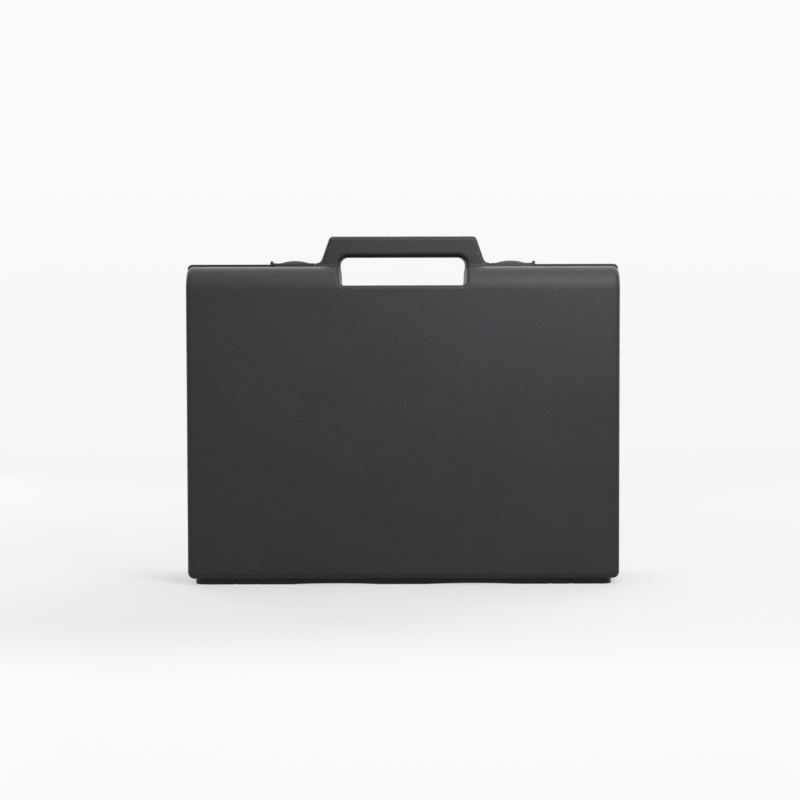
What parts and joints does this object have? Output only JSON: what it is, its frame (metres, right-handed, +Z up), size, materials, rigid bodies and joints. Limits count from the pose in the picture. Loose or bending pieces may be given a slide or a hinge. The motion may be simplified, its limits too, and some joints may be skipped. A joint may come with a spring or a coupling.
{
  "type": "carry case",
  "caption": "Hinged moulded carry case for an otoscope set, with a handle split between its shells, snap latches and cut foam inside.",
  "frame": {"origin": "on the floor under the middle of the case, in the plane where its two shells meet", "axes": "+X along the width, +Y from the lid towards the base shell, +Z up towards the handle"},
  "size_m": [0.34, 0.083, 0.2705],
  "materials": {
    "case_plastic": "fine-grained moulded plastic, satin to matte",
    "latch_plastic": "smooth moulded plastic, satin",
    "steel": "bright drawn wire",
    "foam": "open-cell foam"
  },
  "bodies": {
    "base": {"rear_shell": "case_plastic", "base_pad": "foam", "lower_foam": "foam", "upper_foam": "foam", "latch_pin_left": "steel", "latch_pin_right": "steel", "hinge_pin_left": "steel", "hinge_pin_right": "steel"},
    "lid": {"front_shell": "case_plastic", "lid_foam": "foam"},
    "latch_left": {"latch_left": "latch_plastic"},
    "latch_right": {"latch_right": "latch_plastic"}
  },
  "joints": [
    {"name": "lid_hinge", "type": "hinge", "parent": "base", "child": "lid", "pos_m": [0, 0, 0.0028], "axis": [1, 0, 0], "range_deg": [0, 110]},
    {"name": "latch_left_lift", "type": "hinge", "parent": "base", "child": "latch_left", "pos_m": [-0.08475, 0.0095, 0.2478], "axis": [-1, 0, 0], "range_deg": [0, 85]},
    {"name": "latch_right_lift", "type": "hinge", "parent": "base", "child": "latch_right", "pos_m": [0.08475, 0.0095, 0.2478], "axis": [-1, 0, 0], "range_deg": [0, 85]}
  ]
}
